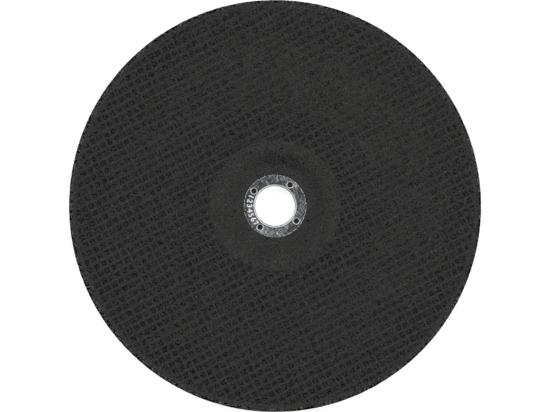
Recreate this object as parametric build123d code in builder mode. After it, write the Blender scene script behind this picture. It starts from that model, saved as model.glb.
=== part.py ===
# Depressed-centre grinding disc: a pressed abrasive body, a cloth of glass threads
# bonded into each of its faces, and a flanged steel ring that lines its bore.
# It lies on its raised hub with the dished working face up. Millimetres, +Z up,
# origin on the bore's axis at the hub's rear face.
from build123d import *
from math import floor, radians, tan
import os

# Pressed body
disc_diameter = 230.0
disc_thickness = 6.0

# Depressed centre: how far the hub is set back, and the wall that leads down to it
hub_depth = 4.6
recess_floor_margin = 4.6
recess_wall_angle = 37.0
recess_foot_radius = 3.0
rear_foot_radius = 4.0

# Steel ring in the bore, drawn from sheet, with a lead-in coined in two steps
bore_diameter = 22.23
ring_sheet = 0.6
lead_in_width = 0.9
lead_in_depth = 0.9
lead_in_step = 0.28
ring_inner_land = 0.34
ring_outer_land = 0.84
collar_end_gap = 0.5
ring_clearance = 0.1

# Anchor holes pierced in the ring's flange, which the body's resin has risen into
anchor_count = 4
anchor_hole_diameter = 3.2
anchor_edge_bevel = 0.55
anchor_edge_depth = 0.35
anchor_plug_drop = 0.25
anchor_angle = 54.7

# Glass cloth in each face: flat weft threads, with the warp pairs laid across them
hub_plain_band = 3.65
rim_plain_band = 4.15
thread_thickness = 0.25
weft_angle = 27.45
weft_pitch = 4.5
weft_width = 1.55
warp_angle = 116.9
warp_pitch = 4.2
warp_width = 1.1
warp_shift = 1.05
cloth_edge_cuts = 90
cloth_clearance = 0.05

# Heights that follow from them
face_height = hub_depth + disc_thickness
hub_floor_height = disc_thickness
flange_seat_height = hub_floor_height - ring_sheet
cloth_seat_depth = 2 * thread_thickness

# Radii of the steel ring, whose flange is as wide as its anchor holes need
bore_radius = bore_diameter / 2
collar_radius = bore_radius + ring_sheet
anchor_hole_radius = anchor_hole_diameter / 2
anchor_mouth_radius = anchor_hole_radius + anchor_edge_bevel
lead_in_radius = bore_radius + lead_in_width
anchor_circle_radius = lead_in_radius + ring_inner_land + anchor_mouth_radius
flange_radius = anchor_circle_radius + anchor_mouth_radius + ring_outer_land

# Radii of the body. The wall keeps the disc's thickness, so its rear corners stand
# further out and its outer bends are larger by one thickness
disc_radius = disc_diameter / 2
body_bore_radius = collar_radius + ring_clearance
flange_seat_radius = flange_radius + ring_clearance
bend_share = tan(radians(recess_wall_angle / 2))
shoulder_radius = rear_foot_radius + disc_thickness
rear_heel_radius = recess_foot_radius + disc_thickness
recess_corner = flange_seat_radius + recess_floor_margin + recess_foot_radius * bend_share
shoulder_corner = recess_corner + hub_depth / tan(radians(recess_wall_angle))
rear_corner_shift = disc_thickness * bend_share
cloth_inner_radius = shoulder_corner + shoulder_radius * bend_share + hub_plain_band
cloth_outer_radius = disc_radius - rim_plain_band


def cloth_layer(level, pitch, width, shift, direction):
    """One set of parallel flat threads as separate bars, cut off at the cloth's edges."""
    reach = cloth_outer_radius - cloth_clearance
    threads_each_side = floor((reach + abs(shift)) / pitch)
    with BuildPart() as layer:
        with BuildSketch(Plane.XY.offset(level).rotated((0, 0, direction))):
            with Locations((0, shift)):
                with GridLocations(0, pitch, 1, 2 * threads_each_side + 1):
                    Rectangle(2 * cloth_outer_radius, width)
            RegularPolygon(reach, cloth_edge_cuts, mode=Mode.INTERSECT)
            RegularPolygon(
                cloth_inner_radius + cloth_clearance, cloth_edge_cuts, major_radius=False, mode=Mode.SUBTRACT
            )
        extrude(amount=thread_thickness)
    return layer.part.solids()


# Abrasive body
with BuildPart() as abrasive_disc:
    with BuildSketch(Plane.XZ):
        with BuildLine():
            working_side = FilletPolyline(
                (body_bore_radius, hub_floor_height),
                (recess_corner, hub_floor_height),
                (shoulder_corner, face_height),
                (disc_radius, face_height),
                radius=[recess_foot_radius, shoulder_radius],
            )
            rear_side = FilletPolyline(
                (body_bore_radius, 0),
                (recess_corner + rear_corner_shift, 0),
                (shoulder_corner + rear_corner_shift, hub_depth),
                (disc_radius, hub_depth),
                radius=[rear_heel_radius, rear_foot_radius],
            )
            Line(working_side @ 0, rear_side @ 0)
            Line(working_side @ 1, rear_side @ 1)
        make_face()
    revolve(axis=Axis.Z)

    # Ring-shaped seats for the cloths, one in each face
    for seat_level, inward in ((face_height, -1), (hub_depth, 1)):
        with BuildSketch(Plane.XY.offset(seat_level)):
            Circle(cloth_outer_radius)
            Circle(cloth_inner_radius, mode=Mode.SUBTRACT)
        extrude(amount=inward * cloth_seat_depth, mode=Mode.SUBTRACT)

    # Seat for the steel ring's flange, flush with the recess floor
    with BuildSketch(Plane.XY.offset(flange_seat_height)):
        Circle(flange_seat_radius)
    extrude(amount=ring_sheet, mode=Mode.SUBTRACT)

    # Resin that has risen into the anchor holes
    with BuildSketch(Plane.XY.offset(flange_seat_height)):
        with PolarLocations(anchor_circle_radius, anchor_count, start_angle=anchor_angle):
            Circle(anchor_hole_radius - ring_clearance)
    extrude(amount=ring_sheet - anchor_plug_drop)

# Steel ring: a flange with a drawn collar, and anchor holes pierced from the front
with BuildPart() as centre_ring:
    with BuildSketch(Plane.XZ):
        with BuildLine():
            Polyline(
                (flange_radius, hub_floor_height),
                (lead_in_radius, hub_floor_height),
                (bore_radius + lead_in_step, hub_floor_height - lead_in_step),
                (bore_radius, hub_floor_height - lead_in_depth),
                (bore_radius, collar_end_gap),
                (collar_radius, collar_end_gap),
                (collar_radius, flange_seat_height),
                (flange_radius, flange_seat_height),
                close=True,
            )
        make_face()
    revolve(axis=Axis.Z)
    with BuildSketch(Plane.XY.offset(hub_floor_height)):
        with PolarLocations(anchor_circle_radius, anchor_count, start_angle=anchor_angle):
            Circle(anchor_hole_radius)
    extrude(amount=-ring_sheet, mode=Mode.SUBTRACT)
    flange_top = centre_ring.faces().filter_by(Axis.Z).sort_by(Axis.Z)[-1]
    punched_edges = flange_top.inner_wires().sort_by(SortBy.LENGTH)[:anchor_count].edges()
    chamfer(punched_edges, anchor_edge_bevel, anchor_edge_depth, reference=flange_top)

# Glass cloths: on each face the weft lies on the seat and the warp lies over it
weft = weft_pitch, weft_width, 0, weft_angle
warp = warp_pitch, warp_width, warp_shift, warp_angle
front_weft = cloth_layer(face_height - cloth_seat_depth, *weft)
front_warp = cloth_layer(face_height - thread_thickness, *warp)
rear_weft = cloth_layer(hub_depth + thread_thickness, *weft)
rear_warp = cloth_layer(hub_depth, *warp)

# One file for each piece
pieces = {
    "abrasive_disc": abrasive_disc.part,
    "centre_ring": centre_ring.part,
    "front_glass_cloth": Compound(children=[*front_weft, *front_warp]),
    "rear_glass_cloth": Compound(children=[*rear_weft, *rear_warp]),
}
os.makedirs("parts", exist_ok=True)
for name, piece in pieces.items():
    piece.label = name
    export_step(piece, f"parts/{name}.step")
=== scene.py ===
# A dished grinding disc seen straight from above: pressed grain and resin, a leno
# cloth of glass threads in each face, and a drawn steel ring in the bore.
# Sizes are in millimetres and are turned into metres where a mesh is made. Directions
# in the plan go anticlockwise from the disc's right.
import math
import bmesh
import bpy
import numpy as np
from mathutils import Matrix, Vector


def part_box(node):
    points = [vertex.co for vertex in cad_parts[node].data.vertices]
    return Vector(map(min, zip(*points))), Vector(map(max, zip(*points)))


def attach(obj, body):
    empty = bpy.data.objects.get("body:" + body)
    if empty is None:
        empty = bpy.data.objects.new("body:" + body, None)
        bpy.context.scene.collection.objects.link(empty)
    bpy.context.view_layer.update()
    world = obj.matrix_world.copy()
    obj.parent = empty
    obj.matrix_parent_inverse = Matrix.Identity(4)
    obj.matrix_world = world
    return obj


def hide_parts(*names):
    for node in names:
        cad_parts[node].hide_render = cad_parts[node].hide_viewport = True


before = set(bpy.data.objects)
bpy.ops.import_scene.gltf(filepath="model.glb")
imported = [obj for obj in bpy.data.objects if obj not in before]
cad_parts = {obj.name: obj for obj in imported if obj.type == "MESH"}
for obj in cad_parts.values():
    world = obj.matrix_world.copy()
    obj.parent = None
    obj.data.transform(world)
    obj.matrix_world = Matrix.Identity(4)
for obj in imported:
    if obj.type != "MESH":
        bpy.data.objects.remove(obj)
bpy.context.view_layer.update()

MM = 0.001
FULL_TURN = 2 * math.pi

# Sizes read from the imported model
_, disc_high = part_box("abrasive_disc")
ring_low, ring_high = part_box("centre_ring")
DISC_RADIUS = round(disc_high.x / MM, 2)
FACE_HEIGHT = round(disc_high.z / MM, 2)
HUB_FLOOR = round(ring_high.z / MM, 2)
RING_RADIUS = round(ring_high.x / MM, 2)
COLLAR_END = round(ring_low.z / MM, 2)

# Steel ring, after its solid
BORE_RADIUS = 11.115
SHEET = 0.6
LEAD_IN = 0.9
HOLE_RADIUS = 1.6
HOLE_BELL = 0.55
HOLE_CIRCLE = 14.5
HOLE_COUNT = 4
HOLE_ANGLE = math.radians(54.7)
FLANGE_UNDERSIDE = HUB_FLOOR - SHEET
COLLAR_RADIUS = BORE_RADIUS + SHEET

# Fine groove just outside the lead-in: where it runs, its depth and its two slopes
SEAM_RADIUS = 12.28
SEAM_DEPTH = 0.1
SEAM_INNER_SLOPE = 0.14
SEAM_OUTER_SLOPE = 0.16

# Pressed body, after its solid
THICKNESS = 6.0
HUB_DEPTH = FACE_HEIGHT - THICKNESS
WALL_ANGLE = math.radians(37.0)
BEND_SHARE = math.tan(WALL_ANGLE / 2)
FLOOR_MARGIN = 4.6
FOOT_RADIUS = 3.0
REAR_FOOT_RADIUS = 4.0
RING_CLEARANCE = 0.1
SEAT_RADIUS = RING_RADIUS + RING_CLEARANCE
RECESS_CORNER = SEAT_RADIUS + FLOOR_MARGIN + FOOT_RADIUS * BEND_SHARE

# Edges that are a little round: how far in and down at the rim, and how far in at the
# bore and at the ring's seat
RIM_EDGE = 0.18
RIM_EDGE_DROP = 0.25
BORE_EDGE = 0.15
SEAT_EDGE = 0.2

# Relief of the pressed faces: the inputs of its geometry tree
RELIEF = {
    "Cell Depth": 0.42,
    "Flooded Depth": 0.1,
    "Cell Crown": 0.08,
    "Lumps": 0.07,
    "Skin Grain": 0.06,
    "Rim Wear": 0.3,
}

# Ring-shaped cloth between the plain bands at the hub and at the rim. Its threads end
# just short of the edges of their seat
RIM_BAND = 4.15
CLOTH_INSIDE = 36.3
CLOTH_OUTSIDE = DISC_RADIUS - RIM_BAND
CLOTH_CLEARANCE = 0.1

# Lie of the cloth's threads: direction, spacing and where the middle one runs
WEFT_ANGLE = math.radians(27.45)
WARP_ANGLE = math.radians(116.9)
WEFT_PITCH = 4.5
WARP_PITCH = 4.2
WEFT_SHIFT = -0.05
WARP_SHIFT = 1.05

# Slopes of a cell, from the skin to its floor, as distances from a thread's middle
WEFT_SLOPE = (0.5, 0.82)
WARP_SLOPE = (0.56, 0.76)

# Threads: the inputs of their geometry trees. A strand swings to the side and is lifted
# as it winds about its thread's middle, half a turn to each length of winding, and it
# wanders a little besides
WEFT = {
    "Pitch": WEFT_PITCH,
    "Shift": WEFT_SHIFT,
    "Turn": WEFT_ANGLE,
    "Width": 1.45,
    "Height": 0.5,
    "Swing": 0.0,
    "Lift": 0.0,
    "Winding": 1.0,
    "Start": 0.0,
    "Wander": 0.36,
    "Seed": 1.0,
}
WARP = {
    "Pitch": WARP_PITCH,
    "Shift": WARP_SHIFT,
    "Turn": WARP_ANGLE,
    "Width": 0.88,
    "Height": 0.36,
    "Swing": 0.3,
    "Lift": 0.1,
    "Winding": WEFT_PITCH,
    "Start": WEFT_SHIFT,
    "Wander": 0.36,
    "Seed": 2.0,
}

# How deep the middles of the threads lie in the face
WEFT_DEPTH = 0.34
WARP_DEPTH = 0.3

# Plain digits raised on the flange, and the arc that they stand on
NUMERALS = "1234567"
NUMERAL_HEIGHT = 2.8
NUMERAL_RISE = 0.12
NUMERAL_CIRCLE = 14.25
NUMERAL_START = math.radians(158.5)
NUMERAL_END = math.radians(222)

# Brick-red grains at the rim: their directions in degrees, and how far out they lie
RED_GRAIN_ANGLES = (19.1, 169.2, 172.6, 180.8)
RED_GRAIN_CIRCLE = DISC_RADIUS - 1.3

# Fine scratches across the steel: for each set its direction in degrees, how drawn out
# the scratches are, and how sparse
SCRATCHES = ((42, 0.2, 0.5), (-50, 0.24, 0.5), (68, 0.18, 0.52))

# Plain level of the greys, as linear values
RESIN_SKIN = 0.0262
# The cells' floor grey is painted shade in the cloth's recesses
CELL_FLOOR_SHADE = 0.0219
THREAD_GREY = 0.0262
# Near black for pin-holes and crumbs, also used as painted shade under the ring
PORE_AND_SHADE_BLACK = 0.0006
CRUMB_GREY = 0.062

# Colours, as linear values
PALE_GRAIN = (0.19, 0.18, 0.155, 1.0)
BRICK_RED = (0.13, 0.052, 0.035, 1.0)
DULL_ZINC = (0.085, 0.088, 0.094, 1.0)
# Bright end of the steel: rubbed zinc and painted highlight
BRIGHT_ZINC_AND_HIGHLIGHT = (0.86, 0.88, 0.91, 1.0)
DULL_DIGIT = (0.4, 0.4, 0.41, 1.0)
# Painted highlight on the digits' tops
DIGIT_HIGHLIGHT = (0.95, 0.95, 0.96, 1.0)

# Strength of the gloss on grain and resin, which the pin-holes have none of
SHEEN = 0.25

# Broad lamps: direction and height in degrees, and strength
LAMPS = {
    "left_lamp": (147, 32, 1.86),
    "right_lamp": (28, 32, 1.11),
    "low_lamp": (318, 30, 1.17),
}
LAMP_SOFTNESS = math.radians(24)
ROOM_LIGHT = 0.30


class Term:
    """A value in a node tree that arithmetic signs can be used on."""

    def __init__(self, bench, socket):
        self.bench = bench
        self.socket = socket

    def __add__(self, other):
        return self.bench.math("ADD", self, other)

    def __radd__(self, other):
        return self.bench.math("ADD", other, self)

    def __sub__(self, other):
        return self.bench.math("SUBTRACT", self, other)

    def __rsub__(self, other):
        return self.bench.math("SUBTRACT", other, self)

    def __mul__(self, other):
        return self.bench.math("MULTIPLY", self, other)

    def __truediv__(self, other):
        return self.bench.math("DIVIDE", self, other)

    def __neg__(self):
        return self * -1.0

    def __abs__(self):
        return self.bench.math("ABSOLUTE", self)


class Bench:
    """Adds nodes to a shader tree or a geometry tree and joins them up."""

    def __init__(self, tree):
        self.tree = tree

    def join(self, target, value):
        if isinstance(value, Term):
            value = value.socket
        if isinstance(value, bpy.types.NodeSocket):
            self.tree.links.new(value, target)
        else:
            target.default_value = value

    def feed(self, node, feeds):
        for key, value in feeds.items():
            self.join(node.inputs[key], value)

    def node(self, kind, settings=None, feeds=None):
        made = self.tree.nodes.new(kind)
        for key, value in (settings or {}).items():
            setattr(made, key, value)
        self.feed(made, feeds or {})
        return made

    def term(self, node, output=0):
        return Term(self, node.outputs[output])

    def math(self, operation, *values):
        return self.term(self.node("ShaderNodeMath", {"operation": operation}, dict(enumerate(values))))

    def largest(self, first, *others):
        for other in others:
            first = self.math("MAXIMUM", first, other)
        return first

    def clipped(self, value, low=0.0, high=1.0):
        return self.math("MINIMUM", self.largest(value, low), high)

    def scaled(self, vector, factor):
        feeds = {0: vector, "Scale": factor}
        return self.term(self.node("ShaderNodeVectorMath", {"operation": "SCALE"}, feeds))

    def split(self, vector):
        parts = self.node("ShaderNodeSeparateXYZ", feeds={0: vector})
        return [self.term(parts, k) for k in range(3)]

    def vector(self, x, y, z):
        return self.term(self.node("ShaderNodeCombineXYZ", feeds={0: x, 1: y, 2: z}))

    def length(self, x, y):
        return self.math("SQRT", x * x + y * y)

    def direction(self, x, y):
        return self.math("ARCTAN2", y, x)

    def facing(self, turn, degrees):
        """One in the direction of degrees, falling to minus one on the opposite side."""
        return self.math("COSINE", turn - math.radians(degrees))

    def turned_from(self, turn, angle, period=FULL_TURN):
        """The turn from angle on, folded into one period with zero in its middle."""
        return self.math("WRAP", turn - angle, period / 2, -period / 2)

    def smooth(self, value, low, high, out_low=0.0, out_high=1.0):
        """A soft step from out_low to out_high as value goes from low to high."""
        feeds = {0: value, 1: low, 2: high, 3: out_low, 4: out_high}
        return self.term(self.node("ShaderNodeMapRange", {"interpolation_type": "SMOOTHSTEP"}, feeds))

    def band(self, value, start, full, fading, end):
        """One between full and fading, and none before start or after end."""
        return self.smooth(value, start, full) * self.smooth(value, fading, end, 1.0, 0.0)

    def noise(self, vector, per_mm, detail=2.0, roughness=0.5):
        feeds = {"Vector": vector, "Scale": per_mm, "Detail": detail, "Roughness": roughness}
        return self.term(self.node("ShaderNodeTexNoise", feeds=feeds))

    def drawn_out(self, place, angle, scale):
        """The place turned and stretched, for a pattern that runs one way."""
        turned = self.node("ShaderNodeMapping", feeds={"Vector": place, "Rotation": (0.0, 0.0, angle)})
        return self.term(self.node("ShaderNodeMapping", feeds={"Vector": turned.outputs[0], "Scale": scale}))

    def mix(self, amount, low, high):
        """A colour between low and high."""
        node = self.node("ShaderNodeMix", {"data_type": "RGBA"}, {0: amount, 6: low, 7: high})
        return self.term(node, 2)


def grey(value, warm=0.0):
    """A near-neutral colour, with a little less blue where warm is over 0."""
    return (value, value, value * (1 - warm), 1.0)


def on_circle(radius, turn):
    """A point at radius from the axis, in the direction of turn."""
    return radius * math.cos(turn), radius * math.sin(turn)


def across(x, y, angle, shift):
    """How far to the left of the middle thread a point lies, for threads at angle."""
    return x * -math.sin(angle) + y * math.cos(angle) - shift


def thread_distances(bench, x, y):
    """Distances in the plan to the nearest weft's and the nearest warp pair's middle."""
    to_weft = bench.math("PINGPONG", across(x, y, WEFT_ANGLE, WEFT_SHIFT), WEFT_PITCH / 2)
    to_warp = bench.math("PINGPONG", across(x, y, WARP_ANGLE, WARP_SHIFT), WARP_PITCH / 2)
    return to_weft, to_warp


def cloth_zone(bench, radius):
    """One inside the cloth's ring and none outside it."""
    outer_edge = (CLOTH_OUTSIDE - 0.5, CLOTH_OUTSIDE + 0.5)
    return bench.band(radius, CLOTH_INSIDE - 0.4, CLOTH_INSIDE + 0.6, *outer_edge)


def openness(bench, x, y, radius):
    """How little resin has flooded the cloth's cells: most on the left, near the rim and
    round the hub, least on the right and in the upper middle, in patches and by the cell."""
    turn = bench.direction(x, y)
    left = bench.facing(turn, 215)
    top = bench.smooth(bench.facing(turn, 85), 0.7, 0.95)
    out_from_hub = bench.smooth(radius, 40.0, 62.0)
    near_hub = bench.smooth(radius, 44.0, 62.0, 0.34, 0.0)
    near_rim = bench.smooth(radius, 82.0, 102.0, 0.0, 0.28)
    level = 0.62 + (left * 0.25 - top * 0.1) * out_from_hub + near_hub + near_rim
    patches = bench.noise(bench.vector(x, y, 0.0), 0.055, 2.0)
    row = bench.math("FLOOR", across(x, y, WEFT_ANGLE, WEFT_SHIFT) / WEFT_PITCH)
    column = bench.math("FLOOR", across(x, y, WARP_ANGLE, WARP_SHIFT) / WARP_PITCH)
    feeds = {"Vector": bench.vector(row, column, 0.0)}
    by_cell = bench.term(bench.node("ShaderNodeTexWhiteNoise", {"noise_dimensions": "2D"}, feeds))
    varied = (patches - 0.5) * 0.85 + (by_cell - 0.5) * 0.6
    return bench.clipped(level + varied * (1.3 - level), 0.08, 1.0)


def hollows(bench, x, y, radius):
    """Where the resin lies low and open: in the barrel-shaped cells, and in a fainter
    way all along the gaps between wefts where the warp is drowned."""
    ragged = 0.3
    to_weft, to_warp = thread_distances(bench, x, y)
    bulge = bench.smooth(to_weft, 0.6, 1.8, 0.0, 0.28)
    to_weft = to_weft + (bench.noise(bench.vector(x, y, 0.0), 0.8, 2.0) - 0.5) * ragged
    to_warp = to_warp + (bench.noise(bench.vector(y, x, 0.0), 0.8, 2.0) - 0.5) * ragged
    open_share = openness(bench, x, y, radius)
    between_wefts = bench.smooth(to_weft, *WEFT_SLOPE)
    between_warps = bench.smooth(to_warp + bulge, *WARP_SLOPE)
    cell = bench.math("MINIMUM", between_wefts, between_warps)
    drowned = between_wefts * (1.0 - open_share) * 0.08
    return cloth_zone(bench, radius) * (cell * open_share + drowned)


def new_material(name):
    """A material with a plain shader, its bench and the place on the piece."""
    material = bpy.data.materials.new(name)
    material.use_nodes = True
    bench = Bench(material.node_tree)
    shader = material.node_tree.nodes["Principled BSDF"]
    place = bench.scaled(bench.node("ShaderNodeTexCoord").outputs["Object"], 1 / MM)
    return material, bench, shader, place


def bumped(bench, shader, height, depth, strength):
    """Roughens a shader's surface by a height that is at most depth."""
    feeds = {"Height": height, "Distance": depth * MM, "Strength": strength}
    bump = bench.node("ShaderNodeBump", feeds=feeds)
    bench.join(shader.inputs["Normal"], bump.outputs["Normal"])


def dots(bench, dimensions, vector, share, per_mm, size, core, faintest):
    """Round dots in a share of the squares of a loose grid. Each is solid out to core
    times its size, and the strength goes from faintest to one."""
    settings = {"voronoi_dimensions": dimensions, "feature": "F1"}
    cells = bench.node("ShaderNodeTexVoronoi", settings, {"Vector": vector, "Scale": per_mm})
    near = bench.smooth(bench.term(cells, "Distance"), size * core, size, 1.0, 0.0)
    chosen, strength, _ = bench.split(bench.term(cells, "Color"))
    return near * bench.math("LESS_THAN", chosen, share) * (faintest + strength * (1 - faintest))


def pins(bench, x, y, share, per_mm=0.95, size=0.42):
    """Round black pin-holes seen in the plan."""
    return dots(bench, "2D", bench.vector(x, y, 0.0), share, per_mm, size, 0.76, 0.65)


def pores(bench, place, share):
    """Pin-holes between the grains: a few at share 0, over half the surface at share 1."""
    return bench.smooth(bench.noise(place, 1.25, 1.5) + share * 0.2, 0.65, 0.7)


def grained(bench, place, base, open_share, contrast, pinned=0.0):
    """Base colour with the grain's own light and dark, pin-holes and a few pale specks,
    and with it the grain and the pin-holes, for the gloss and the bump."""
    fine = bench.noise(place, 0.9, 2.0, 0.6)
    finer = bench.noise(place, 1.5, 1.0)
    broad = bench.noise(place, 0.12, 2.0)
    grain = (fine - 0.5) * 2.9 + (finer - 0.5) * 3.6
    tone = 1.02 + grain * contrast + (broad - 0.5) * 0.35
    shaded = bench.scaled(base, bench.clipped(tone, 0.25, 2.6))
    holes = bench.largest(pores(bench, place, open_share), pinned)
    holed = bench.mix(holes, shaded, grey(PORE_AND_SHADE_BLACK))
    pale = dots(bench, "3D", place, 0.5, 0.36, 0.13, 0.6, 0.35)
    return bench.mix(pale * 0.7, holed, PALE_GRAIN), fine, holes


def red_grains(bench, radius, turn):
    """One where a brick-red grain lies at the rim."""
    inward = abs(radius - RED_GRAIN_CIRCLE)
    found = 0.0
    for degrees in RED_GRAIN_ANGLES:
        aside = bench.turned_from(turn, math.radians(degrees)) * DISC_RADIUS
        near = bench.smooth(abs(aside) * 0.7 + inward, 0.5, 1.0, 1.0, 0.0)
        found = bench.largest(near, found)
    return found


def rim_wear(bench, place, z, radius, turn, chipped):
    """How worn the rim is, most broadly at the lower left and half as much down the side,
    and where crumbs of grain stand in the worn band."""
    width = 1.65 + bench.facing(turn, 205) * 0.45
    worn = bench.smooth(radius + width + chipped, DISC_RADIUS - 0.1, DISC_RADIUS + 0.1)
    worn = worn * bench.smooth(z, FACE_HEIGHT - 1.2, FACE_HEIGHT - 0.5, 0.5, 1.0)
    outermost = bench.smooth(radius, DISC_RADIUS - 0.8, DISC_RADIUS - 0.3)
    crumbs = bench.smooth(bench.noise(place, 1.1, 1.0) - outermost * 0.045, 0.445, 0.525)
    return worn, crumbs


def painted_wall_light(bench, radius, turn):
    """Painted light and shade on the dished wall: paler towards the top, darker below and at lower right."""
    on_wall = bench.band(radius, 21.0, 23.5, 29.0, 33.0)
    lower_right_shade = bench.smooth(bench.facing(turn, 335), 0.5, 0.95)
    return 1.0 + bench.facing(turn, 70) * 0.11 * on_wall - lower_right_shade * on_wall * 0.11


def painted_hub_shade(bench, radius, turn):
    """Painted shade on the wall above the hub, streaked outwards."""
    streaks = bench.noise(bench.vector(turn * 14.0, radius * 0.12, 0.0), 1.0, 3.0, 0.7)
    aside = abs(turn - math.radians(87)) + (streaks - 0.5) * 1.3
    return bench.smooth(aside, 0.2, 0.75, 1.0, 0.0) * bench.band(radius, 21.5, 24.0, 28.0, 35.0)


def painted_ring_shade(bench, z, radius):
    """One on the resin under the flange and in its holes, which is painted in shade."""
    covered = bench.smooth(radius, RING_RADIUS - 0.3, RING_RADIUS - 0.1, 1.0, 0.0)
    return covered * bench.math("GREATER_THAN", z, HUB_FLOOR / 2)


def pin_holes(bench, x, y, radius, low, in_cloth, chipped):
    """Pin-holes in the cells, and along their edges as painted shadow where the threads meet them, more of
    them near the rim, and fine pits in the plain bands."""
    near_rim = bench.smooth(radius, 84.0, 104.0) * 0.22
    # Painted shadow: more pin-holes along the cells' edges
    edge_shadow = low * (1.0 - low)
    in_cells = pins(bench, x, y, low * (near_rim + 0.43) + edge_shadow) * (0.5 + low * 0.5)
    pits = pins(bench, x + chipped * 0.8, y, 0.45, 0.12, 0.09) * (1.0 - in_cloth)
    return bench.largest(in_cells, pits * 0.68)


def pressed_abrasive():
    """Dark grain and resin, smooth on its skin and open in the cloth's cells, with painted shade on their
    floors, on the wall above the hub and under the ring.
    """
    material, bench, shader, place = new_material("pressed_abrasive")
    x, y, z = bench.split(place)
    radius = bench.length(x, y)
    turn = bench.direction(x, y)
    in_cloth = cloth_zone(bench, radius)
    low = hollows(bench, x, y, radius)
    chipped = bench.noise(place, 0.9, 3.0, 0.7) - 0.5
    worn, crumbs = rim_wear(bench, place, z, radius, turn, chipped)
    upper_wall_shade = painted_hub_shade(bench, radius, turn)

    # Painted shade: the cells' floors take a darker grey than the skin
    base = bench.mix(low, grey(RESIN_SKIN, 0.035), grey(CELL_FLOOR_SHADE))
    base = bench.mix(worn, base, bench.mix(crumbs, grey(PORE_AND_SHADE_BLACK), grey(CRUMB_GREY)))
    # Painted light and shade on the dished wall
    base = bench.scaled(base, painted_wall_light(bench, radius, turn))
    # Painted shade on the upper wall, which also gets more pin-holes
    base = bench.mix(upper_wall_shade * 0.28, base, grey(CELL_FLOOR_SHADE * 0.4))
    # Painted shade on the resin under the flange and in its holes
    base = bench.mix(painted_ring_shade(bench, z, radius) * 0.5, base, grey(PORE_AND_SHADE_BLACK))

    rim_grit = bench.smooth(radius, DISC_RADIUS - 2.1, DISC_RADIUS - 0.8) * 0.5
    open_share = bench.clipped(low * 0.12 + rim_grit + upper_wall_shade * 0.25)
    on_hub = bench.smooth(radius, CLOTH_INSIDE - 1.5, CLOTH_INSIDE, 1.0, 0.0)
    contrast = 1.0 - in_cloth * (1.0 - low) * 0.3 - on_hub * 0.18
    pinned = pin_holes(bench, x, y, radius, low, in_cloth, chipped)
    tinted, fine, holes = grained(bench, place, base, open_share, contrast, pinned)
    tinted = bench.mix(red_grains(bench, radius, turn) * 0.8, tinted, BRICK_RED)

    matt = bench.largest(holes, low * 0.4, worn * (1.0 - crumbs))
    finish = {
        "Base Color": tinted,
        "Roughness": bench.smooth(fine, 0.3, 0.7, 0.65, 0.9),
        "Specular IOR Level": (1.0 - matt) * SHEEN,
    }
    bench.feed(shader, finish)
    bumped(bench, shader, fine - holes * 0.8, 0.25, 0.5)
    return material


def coated_thread(name, angle, drowns):
    """Glass roving under a thin coat of resin, with its fibres along the thread. One that
    drowns takes the cell floor's darker grey, which is painted shade, where resin has flooded over it."""
    material, bench, shader, place = new_material(name)
    fibres = bench.noise(bench.drawn_out(place, -angle, (0.25, 4.0, 4.0)), 1.0, 2.0)
    sunk = 0.0
    if drowns:
        x, y, _ = bench.split(place)
        to_weft, _ = thread_distances(bench, x, y)
        sunk = bench.smooth(to_weft, 0.7, 1.3) * (1.0 - openness(bench, x, y, bench.length(x, y)))
    base = bench.mix(sunk * 0.6, grey(THREAD_GREY, 0.06), grey(CELL_FLOOR_SHADE))
    base = bench.scaled(base, 0.8 + fibres * 0.4)
    tinted, fine, holes = grained(bench, place, base, 0.15 + sunk * 0.35, 0.6)
    finish = {
        "Base Color": tinted,
        "Roughness": bench.smooth(fine, 0.3, 0.7, 0.6, 0.85),
        "Specular IOR Level": (1.0 - holes) * SHEEN,
    }
    bench.feed(shader, finish)
    bumped(bench, shader, fibres * 0.5 + fine - holes * 0.6, 0.14, 0.6)
    return material


def scratched(bench, place, degrees, along, sparse):
    """Short fine scratches that all run one way."""
    drawn_out = bench.drawn_out(place, math.radians(degrees), (along, 2.3, 1.0))
    return bench.smooth(bench.noise(drawn_out, 1.0, 1.0), sparse, sparse + 0.12)


def hole_distance(bench, radius, turn):
    """Distance in the plan to the nearest anchor hole's middle."""
    from_hole = bench.turned_from(turn, HOLE_ANGLE, FULL_TURN / HOLE_COUNT)
    along = bench.math("COSINE", from_hole) * radius - HOLE_CIRCLE
    aside = bench.math("SINE", from_hole) * radius
    return bench.length(along, aside)


def rubbed_and_highlit_edges(bench, radius, turn, dashes):
    """Where the ring is bright: rubbed bright in dashes along the flange's edge, and with painted
    highlights round the holes and on the lead-in, whose inner half has painted shade, most of all at the
    lower right."""
    outer = bench.smooth(radius, RING_RADIUS - 0.3, RING_RADIUS - 0.2) * dashes
    # Painted highlight on the lead-in, with painted shade on its inner half
    lead_in = bench.smooth(radius, BORE_RADIUS + 0.85, BORE_RADIUS + 1.05, 0.87, 0.0)
    inner_half = bench.smooth(radius, BORE_RADIUS + 0.34, BORE_RADIUS + 0.46, 1.0, 0.0)
    lower_right_shade = bench.smooth(bench.facing(turn, -30), -0.5, 0.4, 0.55, 0.95)
    lead_in = lead_in * (1.0 - inner_half * lower_right_shade)
    to_hole = hole_distance(bench, radius, turn)
    # Painted highlight round the anchor holes
    hole_highlight = bench.smooth(to_hole, HOLE_RADIUS + 0.24, HOLE_RADIUS + 0.4, 1.0, 0.0)
    return bench.largest(outer, lead_in, hole_highlight)


def digit_shade_and_dull_patches(bench, turn):
    """How much darker the flange is: painted shade round its digits, and duller at the upper left and on the
    right.
    """
    off_digits = abs(bench.turned_from(turn, (NUMERAL_START + NUMERAL_END) / 2))
    at_digits = bench.smooth(off_digits, math.radians(36), math.radians(44), 0.3, 0.0)
    upper_left = bench.smooth(abs(turn - math.radians(115)), 0.4, 1.1, 0.16, 0.0)
    right = bench.smooth(bench.facing(turn, -20), 0.3, 0.8, 0.0, 0.12)
    return at_digits + upper_left + right


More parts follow.
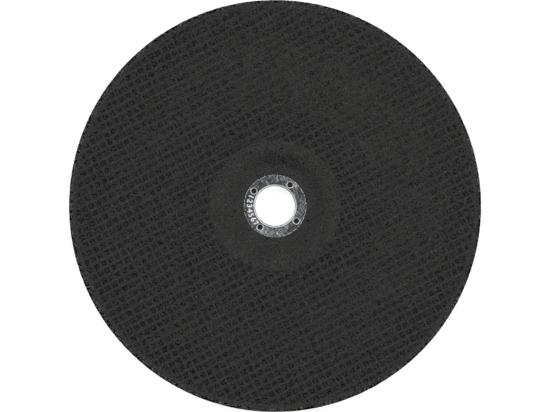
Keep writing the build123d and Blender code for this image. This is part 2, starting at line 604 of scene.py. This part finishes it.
def steel_finish(bench, shader, level, dull, bright):
    """Colour and gloss of steel, from dull at level 0 to bright at level 1, where it is rubbed and where
    highlights are painted.
    """
    finish = {
        "Base Color": bench.mix(level, dull, bright),
        "Roughness": 0.36 + level * 0.26,
        # Bright levels are less metallic, so their pale colour shows as a painted highlight
        "Metallic": bench.smooth(level, 0.8, 1.0, 1.0, 0.45),
    }
    bench.feed(shader, finish)


def drawn_steel():
    """Zinc-grey sheet, mottled and scuffed on the flat, with painted highlights where it is bent or cut and
    painted shade in its groove.
    Resin has run over the flange's edge between the bright dashes."""
    material, bench, shader, place = new_material("drawn_steel")
    x, y, _ = bench.split(place)
    radius = bench.length(x, y)
    turn = bench.direction(x, y)
    clouds = bench.noise(place, 0.3, 3.0, 0.6)
    mottle = bench.noise(place, 1.3, 2.0, 0.6)
    crossed = sum(scratched(bench, place, *one_way) for one_way in SCRATCHES)
    along_edge = bench.noise(bench.vector(turn * 16.0, 0.0, 0.0), 1.0, 1.0)
    dashes = bench.smooth(along_edge, 0.44, 0.54, 0.1, 0.9)
    overrun = bench.smooth(radius, RING_RADIUS - 0.5, RING_RADIUS - 0.35)
    overrun = overrun * bench.smooth(dashes, 0.1, 0.3, 0.5, 0.0)
    # Painted shade round the digits, and duller patches at the upper left and on the right
    flat = clouds * 1.05 + mottle * 0.9 + crossed * 0.29 - 0.97 - digit_shade_and_dull_patches(bench, turn)
    level = bench.largest(bench.clipped(flat, 0.0, 0.78), rubbed_and_highlit_edges(bench, radius, turn, dashes))
    # Painted shade in the fine groove
    seam_shade = bench.smooth(abs(radius - SEAM_RADIUS), 0.08, 0.2, 0.1, 1.0)
    level = level * seam_shade * (1.0 - overrun)
    dull = bench.mix(overrun * 0.9, DULL_ZINC, grey(RESIN_SKIN))
    steel_finish(bench, shader, level, dull, BRIGHT_ZINC_AND_HIGHLIGHT)
    bumped(bench, shader, mottle + crossed * 0.4, 0.12, 0.6)
    return material


def highlit_digit_steel():
    """The digits' tops, painted bright as a highlight."""
    material, bench, shader, place = new_material("highlit_digit_steel")
    # Painted highlight over the digits' tops
    rubbed = bench.smooth(bench.noise(place, 1.2, 2.0, 0.6), 0.3, 0.5, 0.75, 1.0)
    steel_finish(bench, shader, rubbed, DULL_DIGIT, DIGIT_HIGHLIGHT)
    return material


def linked(name, data):
    """A new object in the scene."""
    made = bpy.data.objects.new(name, data)
    bpy.context.scene.collection.objects.link(made)
    return made


def add_piece(name, mesh, material, solid):
    """Makes a finished mesh a piece of the disc, in place of its solid."""
    mesh.name = name
    mesh.materials.clear()
    mesh.materials.append(material)
    mesh.polygons.foreach_set("material_index", [0] * len(mesh.polygons))
    piece = linked(name, mesh)
    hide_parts(solid)
    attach(piece, "root")


def plain_mesh(obj):
    """The object's shape with its modifiers, as a plain mesh. The object is removed."""
    graph = bpy.context.evaluated_depsgraph_get()
    mesh = bpy.data.meshes.new_from_object(obj.evaluated_get(graph), depsgraph=graph)
    bpy.data.objects.remove(obj)
    return mesh


def mesh_of(name, points, faces):
    """A mesh from points in millimetres."""
    mesh = bpy.data.meshes.new(name)
    mesh.from_pydata((np.array(points) * MM).tolist(), [], faces)
    mesh.update()
    return mesh


def outward(mesh):
    """Turns a closed mesh's faces outwards."""
    work = bmesh.new()
    work.from_mesh(mesh)
    bmesh.ops.recalc_face_normals(work, faces=work.faces)
    work.to_mesh(mesh)
    work.free()
    return mesh


def geometry_tree(name, labels):
    """An empty geometry tree with a shape, a material and named numbers as its inputs."""
    tree = bpy.data.node_groups.new(name, "GeometryNodeTree")
    tree.interface.new_socket("Geometry", in_out="INPUT", socket_type="NodeSocketGeometry")
    tree.interface.new_socket("Material", in_out="INPUT", socket_type="NodeSocketMaterial")
    for label in labels:
        tree.interface.new_socket(label, in_out="INPUT", socket_type="NodeSocketFloat")
    tree.interface.new_socket("Geometry", in_out="OUTPUT", socket_type="NodeSocketGeometry")
    bench = Bench(tree)
    given = bench.node("NodeGroupInput")
    return tree, bench, given, {label: bench.term(given, label) for label in labels}


def end_tree(bench, given, shape):
    """Gives a geometry tree's result as one real mesh in the material it was given."""
    solid = bench.node("GeometryNodeRealizeInstances", feeds={0: shape.outputs[0]})
    feeds = {"Geometry": solid.outputs[0], "Material": given.outputs["Material"]}
    coated = bench.node("GeometryNodeSetMaterial", feeds=feeds)
    bench.node("NodeGroupOutput", feeds={0: coated.outputs[0]})


def shaped_by(tree, values, mesh=None):
    """A plain mesh made by a geometry tree from its named inputs."""
    holder = linked(tree.name, mesh or bpy.data.meshes.new(tree.name))
    modifier = holder.modifiers.new(tree.name, "NODES")
    modifier.node_group = tree
    named = {item.name: item.identifier for item in tree.interface.items_tree if item.in_out == "INPUT"}
    for name, value in values.items():
        modifier[named[name]] = value
    return plain_mesh(holder)


def arc(centre, radius, start, end, step):
    """Points of an arc in the section, from angle start to end in radians."""
    count = max(2, math.ceil(abs(end - start) * radius / step) + 1)
    turns = np.linspace(start, end, count)
    return [(centre[0] + radius * math.cos(t), centre[1] + radius * math.sin(t)) for t in turns]


def stepped(points, step):
    """The same line with points no further apart than step."""
    out = [points[0]]
    for (r0, z0), (r1, z1) in zip(points, points[1:]):
        parts = max(1, math.ceil(math.hypot(r1 - r0, z1 - z0) / step))
        out += [(r0 + (r1 - r0) * k / parts, z0 + (z1 - z0) * k / parts) for k in range(1, parts + 1)]
    return out


def dished_line(corner, floor, foot, shoulder, step):
    """Section of a face from the hub, up the wall and onto the outer face."""
    top_corner = corner + HUB_DEPTH / math.tan(WALL_ANGLE)
    foot_centre = (corner - foot * BEND_SHARE, floor + foot)
    shoulder_centre = (top_corner + shoulder * BEND_SHARE, floor + HUB_DEPTH - shoulder)
    down, up = -math.pi / 2, math.pi / 2
    line = arc(foot_centre, foot, down, down + WALL_ANGLE, step)
    line += arc(shoulder_centre, shoulder, up + WALL_ANGLE, up, step)
    return line


def body_section():
    """The body's closed section, with the spacing of the points along each stretch."""
    bore = COLLAR_RADIUS + RING_CLEARANCE
    hidden, on_seat, on_front, at_rear_rim, on_rear = 2.5, 0.8, 0.78, 1.1, 1.9
    front = dished_line(RECESS_CORNER, HUB_FLOOR, FOOT_RADIUS, REAR_FOOT_RADIUS + THICKNESS, on_front)
    rear_corner = RECESS_CORNER + THICKNESS * BEND_SHARE
    rear = dished_line(rear_corner, 0.0, FOOT_RADIUS + THICKNESS, REAR_FOOT_RADIUS, on_rear)
    seat_foot = (SEAT_RADIUS, FLANGE_UNDERSIDE)
    seat_lip = (SEAT_RADIUS + 0.02, HUB_FLOOR - 0.16)
    seat_top = (SEAT_RADIUS + SEAT_EDGE, HUB_FLOOR)
    face_edge = (DISC_RADIUS - RIM_EDGE, FACE_HEIGHT)
    rim_top = (DISC_RADIUS, FACE_HEIGHT - RIM_EDGE_DROP)
    rim_foot = (DISC_RADIUS, HUB_DEPTH + RIM_EDGE_DROP)
    rear_edge = (DISC_RADIUS - RIM_EDGE, HUB_DEPTH)
    bore_edge = (bore + BORE_EDGE, 0.0)
    bore_foot = (bore, BORE_EDGE)
    bore_top = (bore, FLANGE_UNDERSIDE)
    stretches = [
        ([bore_foot, bore_top], hidden),
        ([bore_top, seat_foot], hidden),
        ([seat_foot, seat_lip, seat_top], on_seat),
        ([seat_top] + front + [face_edge], on_front),
        ([face_edge, rim_top, rim_foot], on_front),
        ([rim_foot, rear_edge], at_rear_rim),
        ([rear_edge] + rear[::-1] + [bore_edge], on_rear),
        ([bore_edge, bore_foot], hidden),
    ]
    section, spacings = [], []
    for line, spacing in stretches:
        points = stepped(line, spacing)[:-1]
        section += points
        spacings += [spacing] * len(points)
    return section, spacings


def between_rings(ring, other_ring):
    """Triangles between two rings of points, each its first point, count and lag."""
    first, count, lag = ring
    other, other_count, other_lag = other_ring
    faces = []
    i = j = 0
    while i < count or j < other_count:
        next_here = (i + 1 + lag) / count
        next_there = (j + 1 + other_lag) / other_count
        here = first + i % count
        there = other + j % other_count
        if j >= other_count or (i < count and next_here <= next_there):
            faces.append((here, first + (i + 1) % count, there))
            i += 1
        else:
            faces.append((here, other + (j + 1) % other_count, there))
            j += 1
    return faces


def turned_solid(section, spacings):
    """A closed solid turned from a closed section. Each ring of points is divided by its
    own spacing, so that the triangles stay even from the bore to the rim."""
    rings = []
    points = []
    for k, ((radius, height), spacing) in enumerate(zip(section, spacings)):
        count = max(32, round(FULL_TURN * radius / spacing))
        lag = 0.5 * (k % 2)
        turn = (np.arange(count) + lag) * FULL_TURN / count
        rings.append((sum(len(ring) for ring in points), count, lag))
        points.append(np.stack([radius * np.cos(turn), radius * np.sin(turn), np.full(count, height)], 1))
    faces = []
    for k, ring in enumerate(rings):
        faces += between_rings(ring, rings[(k + 1) % len(rings)])
    return mesh_of("turned_solid", np.concatenate(points), faces)


def relief_tree():
    """Sinks the cloth's cells into the faces and roughens every surface that shows."""
    tree, bench, given, size = geometry_tree("pressed_relief", RELIEF)
    place = bench.scaled(bench.node("GeometryNodeInputPosition").outputs[0], 1 / MM)
    x, y, _ = bench.split(place)
    radius = bench.length(x, y)
    to_weft, to_warp = thread_distances(bench, x, y)
    flooded = size["Flooded Depth"]
    sunk = flooded + (size["Cell Depth"] - flooded) * hollows(bench, x, y, radius)
    crowned = bench.smooth(to_weft, 0.8, 2.1) * bench.smooth(to_warp, 0.6, 2.0) * size["Cell Crown"]
    lumps = bench.noise(place, 0.6, 2.0) * size["Lumps"]
    cells = cloth_zone(bench, radius) * (sunk - crowned + lumps)
    clear_of_ring = bench.smooth(radius, RING_RADIUS + 0.3, RING_RADIUS + 1.0)
    skin = bench.noise(place, 0.8, 1.0) * size["Skin Grain"] * clear_of_ring
    chips = bench.smooth(bench.noise(place, 0.7, 3.0, 0.7), 0.45, 0.65)
    rim = bench.smooth(radius, DISC_RADIUS - 0.8, DISC_RADIUS - 0.2) * chips * size["Rim Wear"]
    offset = bench.scaled(bench.node("GeometryNodeInputNormal").outputs[0], (cells + skin + rim) * -MM)
    feeds = {"Geometry": given.outputs["Geometry"], "Offset": offset}
    end_tree(bench, given, bench.node("GeometryNodeSetPosition", feeds=feeds))
    return tree


def make_body(material):
    """The pressed body, turned from its section and then given its relief."""
    turned = outward(turned_solid(*body_section()))
    mesh = shaped_by(relief_tree(), dict(RELIEF, Material=material), turned)
    mesh.shade_smooth()
    add_piece("pressed_body", mesh, material, "abrasive_disc")


def points_in_line(bench, count, start, offset):
    """A row of points from start on, each at offset from the one before."""
    feeds = {"Count": count, "Start Location": start, "Offset": offset}
    return bench.node("GeometryNodeMeshLine", feeds=feeds).outputs[0]


def laid_lines(bench, thread, x, y):
    """One straight line of points for each thread, cut off at the cloth's edges."""
    outside, pitch, step = thread["Outside"], thread["Pitch"], thread["Step"]
    each_side = bench.math("FLOOR", outside / pitch) + 1.0
    first = bench.vector(0.0, thread["Shift"] - each_side * pitch, 0.0)
    rows = points_in_line(bench, each_side * 2.0 + 1.0, first, bench.vector(0.0, pitch, 0.0))
    count = bench.math("CEIL", outside * 2.0 / step) + 1.0
    line = points_in_line(bench, count, bench.vector(-outside, 0.0, 0.0), bench.vector(step, 0.0, 0.0))
    laid = bench.node("GeometryNodeInstanceOnPoints", feeds={"Points": rows, "Instance": line})
    loose = bench.node("GeometryNodeRealizeInstances", feeds={0: laid.outputs[0]})
    reach = bench.length(x, y)
    beyond = bench.math("GREATER_THAN", reach, outside) + bench.math("LESS_THAN", reach, thread["Inside"])
    feeds = {"Geometry": loose.outputs[0], "Selection": beyond}
    return bench.node("GeometryNodeDeleteGeometry", {"domain": "POINT"}, feeds)


def swept_strand(bench, thread, lines, section, x, y, strand):
    """Sweeps one strand along every line: winding, wandering and fuller in places."""
    seed = thread["Seed"]
    angle = (x - thread["Start"]) * math.pi / thread["Winding"] + math.pi * strand
    drift = bench.noise(bench.vector(x * 0.9, y * 3.7, seed + 11.0 * strand), 0.12, 1.0) - 0.5
    ripple = bench.noise(bench.vector(x, y, seed), 0.3, 1.0) - 0.5
    sideways = bench.math("COSINE", angle) * thread["Swing"] + drift * thread["Wander"]
    upward = bench.math("SINE", angle) * thread["Lift"] + ripple * 0.08
    offset = bench.vector(0.0, sideways, upward + thread["Level"])
    moved = bench.node("GeometryNodeSetPosition", feeds={"Geometry": lines.outputs[0], "Offset": offset})
    curve = bench.node("GeometryNodeMeshToCurve", feeds={0: moved.outputs[0]})
    upright = bench.node("GeometryNodeSetCurveNormal", {"mode": "Z_UP"}, {0: curve.outputs[0]})
    fuller = bench.noise(bench.vector(x, y * 2.0, seed + 5.0), 0.35, 1.0) * 0.5 + 0.75
    feeds = {
        "Curve": upright.outputs[0],
        "Profile Curve": section.outputs[0],
        "Scale": fuller,
        "Fill Caps": True,
    }
    return bench.node("GeometryNodeCurveToMesh", feeds=feeds)


def thread_tree(name, strands, sides):
    """Lays parallel threads across the disc. Each thread is one strand, or two that are
    wound round each other, half a turn from weft to weft."""
    tree, bench, given, thread = geometry_tree(name, [*WEFT, "Inside", "Outside", "Level", "Step"])
    x, y, _ = bench.split(bench.node("GeometryNodeInputPosition").outputs[0])
    lines = laid_lines(bench, thread, x, y)
    ring = bench.node("GeometryNodeCurvePrimitiveCircle", feeds={"Resolution": sides, "Radius": 0.5})
    size = bench.vector(thread["Width"], thread["Height"], 1.0)
    section = bench.node("GeometryNodeTransform", feeds={0: ring.outputs[0], "Scale": size})
    joined = bench.node("GeometryNodeJoinGeometry")
    for strand in range(strands):
        swept = swept_strand(bench, thread, lines, section, x, y, strand)
        bench.join(joined.inputs[0], swept.outputs[0])
    turn = bench.vector(0.0, 0.0, thread["Turn"])
    feeds = {0: joined.outputs[0], "Rotation": turn, "Scale": (MM, MM, MM)}
    placed = bench.node("GeometryNodeTransform", feeds=feeds)
    end_tree(bench, given, bench.node("GeometryNodeSetShadeSmooth", feeds={0: placed.outputs[0]}))
    return tree


def make_cloths(weft_material, warp_material):
    """Weft and warp of the front cloth, and the same in longer steps for the rear cloth."""
    weft_tree = thread_tree("weft_rovings", 1, 8)
    warp_tree = thread_tree("leno_pairs", 2, 6)
    edges = {"Inside": CLOTH_INSIDE + CLOTH_CLEARANCE, "Outside": CLOTH_OUTSIDE - CLOTH_CLEARANCE}
    under_face = 0.01
    # Each side's face, the way into the body, and the steps along its weft and its warp
    faces = (
        ("front", FACE_HEIGHT - under_face, -1, 1.2, WEFT_PITCH / 4),
        ("rear", HUB_DEPTH + under_face, 1, 2.6, WEFT_PITCH / 2),
    )
    for side, face, inward, weft_step, warp_step in faces:
        kinds = (
            ("weft", weft_tree, WEFT, WEFT_DEPTH, weft_step, weft_material),
            ("warp", warp_tree, WARP, WARP_DEPTH, warp_step, warp_material),
        )
        for kind, tree, thread, depth, step, material in kinds:
            inputs = {**thread, **edges, "Level": face + inward * depth, "Step": step, "Material": material}
            mesh = shaped_by(tree, inputs)
            add_piece(f"{side}_{kind}", mesh, material, f"{side}_glass_cloth")


def ring_section():
    """The ring's closed section: flange, rounded lead-in and collar."""
    top, under = HUB_FLOOR, FLANGE_UNDERSIDE
    edge = 0.16
    bevel = 0.1
    bend, bend_middle = 0.25, 0.08
    line = [(COLLAR_RADIUS, COLLAR_END + bevel), (COLLAR_RADIUS, under - bend)]
    line += [(COLLAR_RADIUS + bend_middle, under - bend_middle), (COLLAR_RADIUS + bend, under)]
    line += [(RING_RADIUS - bevel, under), (RING_RADIUS, under + bevel)]
    line += arc((RING_RADIUS - edge, top - edge), edge, 0.0, math.pi / 2, 0.06)
    line += [(SEAM_RADIUS + SEAM_OUTER_SLOPE, top), (SEAM_RADIUS, top - SEAM_DEPTH)]
    line += [(SEAM_RADIUS - SEAM_INNER_SLOPE, top)]
    line += arc((BORE_RADIUS + LEAD_IN, top - LEAD_IN), LEAD_IN, math.pi / 2, math.pi, 0.16)
    line += [(BORE_RADIUS, COLLAR_END + bevel), (BORE_RADIUS + bevel, COLLAR_END)]
    line += [(COLLAR_RADIUS - bevel, COLLAR_END)]
    return line


def hole_section():
    """Section of what an anchor hole takes out, belled at the top where the edge is round."""
    near_axis = 0.0005
    start, end = HUB_FLOOR - 2.0, HUB_FLOOR + 0.6
    bell_depth = HOLE_BELL * 0.75
    line = [(near_axis, start), (HOLE_RADIUS, start)]
    for turn in np.linspace(0, math.pi / 2, 7):
        radius = HOLE_RADIUS + HOLE_BELL - HOLE_BELL * math.cos(turn)
        line.append((radius, HUB_FLOOR - bell_depth + bell_depth * math.sin(turn)))
    line += [(HOLE_RADIUS + HOLE_BELL, end), (near_axis, end)]
    return line


def lathe(section, segments):
    """A plain turned solid with the same number of points in every ring."""
    turns = np.arange(segments) * FULL_TURN / segments
    points = [(*on_circle(radius, turn), height) for radius, height in section for turn in turns]
    rows = len(section)
    faces = []
    for row in range(rows):
        next_row = (row + 1) % rows
        for column in range(segments):
            next_column = (column + 1) % segments
            here = (row * segments + column, row * segments + next_column)
            faces.append((*here, next_row * segments + next_column, next_row * segments + column))
    return outward(mesh_of("lathe", points, faces))


def make_ring(material):
    """The ring, turned from its section, with its anchor holes cut out."""
    blank = linked("ring_blank", lathe(ring_section(), 160))
    cutters = []
    for k in range(HOLE_COUNT):
        x, y = on_circle(HOLE_CIRCLE, HOLE_ANGLE + k * FULL_TURN / HOLE_COUNT)
        mesh = lathe(hole_section(), 36)
        mesh.transform(Matrix.Translation((x * MM, y * MM, 0)))
        cutter = linked(f"cutter_{k}", mesh)
        modifier = blank.modifiers.new(f"hole_{k}", "BOOLEAN")
        modifier.operation = "DIFFERENCE"
        modifier.solver = "EXACT"
        modifier.object = cutter
        cutters.append(cutter)
    mesh = plain_mesh(blank)
    for cutter in cutters:
        bpy.data.objects.remove(cutter)
    mesh.shade_smooth()
    mesh.set_sharp_from_angle(angle=math.radians(38))
    add_piece("bore_ring", mesh, material, "centre_ring")


def digit_mesh(digit):
    """One plain raised digit that stands on the origin, with its edges a little round."""
    height_share = 0.69
    curve = bpy.data.curves.new("digit", "FONT")
    curve.body = digit
    curve.size = NUMERAL_HEIGHT / height_share
    curve.align_x = "CENTER"
    curve.offset = 0.06
    curve.extrude = NUMERAL_RISE / 2
    curve.bevel_depth = 0.05
    curve.bevel_resolution = 1
    return plain_mesh(linked("digit", curve))


def make_numerals(material):
    """Plain raised digits round the left of the flange, their heads towards the bore."""
    work = bmesh.new()
    middled = Matrix.Translation((0, -NUMERAL_HEIGHT / 2, 0))
    for k, digit in enumerate(NUMERALS):
        turn = NUMERAL_START + (NUMERAL_END - NUMERAL_START) * k / (len(NUMERALS) - 1)
        place = Matrix.Translation((*on_circle(NUMERAL_CIRCLE, turn), HUB_FLOOR))
        upright = Matrix.Rotation(turn + math.pi / 2, 4, "Z")
        mesh = digit_mesh(digit)
        mesh.transform(Matrix.Scale(MM, 4) @ place @ upright @ middled)
        work.from_mesh(mesh)
    bmesh.ops.remove_doubles(work, verts=work.verts, dist=1e-7)
    bmesh.ops.recalc_face_normals(work, faces=work.faces)
    mesh = bpy.data.meshes.new("ring_numerals")
    work.to_mesh(mesh)
    work.free()
    add_piece("ring_numerals", mesh, material, "centre_ring")


def white_floor():
    """Paper that is white to the camera and in reflections, and still takes a shadow."""
    material = bpy.data.materials.new("white_floor")
    material.use_nodes = True
    material.node_tree.nodes.clear()
    bench = Bench(material.node_tree)
    paper = bench.node("ShaderNodeBsdfDiffuse", feeds={"Color": (0.3, 0.3, 0.3, 1.0)})
    rays = bench.node("ShaderNodeLightPath")
    seen = bench.term(rays, "Is Camera Ray") + bench.term(rays, "Is Glossy Ray")
    seen = bench.math("MINIMUM", seen + bench.term(rays, "Is Transmission Ray"), 1.0)
    glow = bench.node("ShaderNodeEmission", feeds={"Strength": seen * 0.85})
    both = bench.node("ShaderNodeAddShader", feeds={0: paper.outputs[0], 1: glow.outputs[0]})
    bench.node("ShaderNodeOutputMaterial", feeds={0: both.outputs[0]})
    return material


def make_stage():
    """A wide white floor just under the hub."""
    half = 6000.0
    corners = [(-half, -half, 0.0), (half, -half, 0.0), (half, half, 0.0), (-half, half, 0.0)]
    floor = linked("floor", mesh_of("floor", corners, [(0, 1, 2, 3)]))
    floor.location.z = -0.2 * MM
    floor.data.materials.append(white_floor())


def make_lights():
    """Three broad lamps low round an even room, the strongest at the upper left."""
    world = bpy.data.worlds.new("room")
    world.use_nodes = True
    background = world.node_tree.nodes["Background"]
    background.inputs["Color"].default_value = (1.0, 1.0, 1.0, 1.0)
    background.inputs["Strength"].default_value = ROOM_LIGHT
    bpy.context.scene.world = world
    for name, (azimuth, elevation, strength) in LAMPS.items():
        lamp = bpy.data.lights.new(name, "SUN")
        lamp.energy = strength
        lamp.angle = LAMP_SOFTNESS
        height = math.radians(elevation)
        towards = Vector((*on_circle(math.cos(height), math.radians(azimuth)), math.sin(height)))
        linked(name, lamp).rotation_euler = towards.to_track_quat("Z", "Y").to_euler()


def make_camera():
    """Straight above the disc, which fills the picture's height."""
    distance = 2.5
    picture_width = 550
    disc_in_pixels = 412.4
    aside_in_pixels = -0.08
    seen_width = 2 * DISC_RADIUS * MM * picture_width / disc_in_pixels
    pixel = seen_width / picture_width
    lens = bpy.data.cameras.new("camera")
    lens.sensor_width = 36.0
    lens.lens = lens.sensor_width * distance / seen_width
    lens.clip_end = 20.0
    camera = linked("camera", lens)
    camera.location = (aside_in_pixels * pixel, 0.0, FACE_HEIGHT * MM + distance)
    bpy.context.scene.camera = camera


make_camera()
make_lights()
make_stage()
make_body(pressed_abrasive())
coated_weft = coated_thread("coated_weft", WEFT_ANGLE, drowns=False)
coated_warp = coated_thread("coated_warp", WARP_ANGLE, drowns=True)
make_cloths(coated_weft, coated_warp)
make_ring(drawn_steel())
make_numerals(highlit_digit_steel())

bpy.context.scene.view_settings.view_transform = "Standard"
